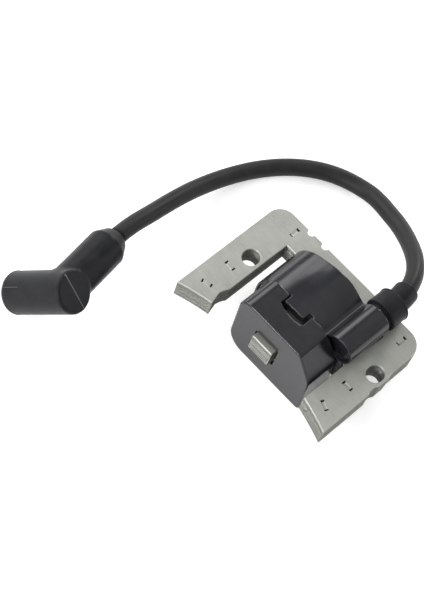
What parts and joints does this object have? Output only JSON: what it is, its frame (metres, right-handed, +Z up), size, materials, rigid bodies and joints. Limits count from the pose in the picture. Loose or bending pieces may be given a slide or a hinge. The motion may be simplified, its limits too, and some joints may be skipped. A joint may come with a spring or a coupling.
{
  "type": "ignition coil",
  "caption": "Small-engine ignition module: laminated steel E-core, black plastic coil body with a high-tension tower, and a rubber lead ending in a right-angle plug boot.",
  "frame": {"origin": "on the resting surface under the middle of the core's box, measured without the lead and its boot", "axes": "+X across the two bolt arms towards the high-tension tower, +Y from the pole faces to the yoke, +Z up out of the core's broad face"},
  "size_m": [0.129, 0.1583, 0.0365],
  "materials": {
    "core": "satin rolled electrical steel with a fine grain",
    "casing": "semi-gloss black moulded plastic",
    "resin": "cast black epoxy",
    "lead_rubber": "satin black jacket",
    "boot_rubber": "matte black moulded rubber",
    "bobbin": "natural nylon",
    "winding": "enamelled copper wire",
    "terminal": "bright brass",
    "board": "glass-epoxy board with a solder mask",
    "component": "dipped component bodies"
  },
  "bodies": {
    "module": {"lamination_1": "core", "lamination_2": "core", "lamination_3": "core", "lamination_4": "core", "lamination_5": "core", "lamination_6": "core", "lamination_7": "core", "rear_shell": "casing", "front_cover": "casing", "casting_resin": "resin", "primary_bobbin": "bobbin", "primary_winding": "winding", "secondary_bobbin": "bobbin", "secondary_winding": "winding", "charge_coil_bobbin": "bobbin", "charge_coil_winding": "winding", "trigger_coil": "winding", "circuit_board": "board", "capacitor": "component", "thyristor": "component", "diode": "component", "resistor": "component", "ground_strap": "terminal", "lead_grommet": "boot_rubber", "tower_terminal": "terminal", "lead_tower_end": "lead_rubber", "ht_lead": "lead_rubber", "lead_boot_end": "lead_rubber"},
    "boot": {"plug_boot": "boot_rubber", "plug_clip": "terminal", "plug_spike": "terminal"}
  },
  "joints": [
    {"name": "boot_swivel", "type": "hinge", "parent": "module", "child": "boot", "pos_m": [-0.06496, -0.06984, 0.02486], "axis": [-0.179, 0.9748, -0.133], "continuous": true}
  ]
}
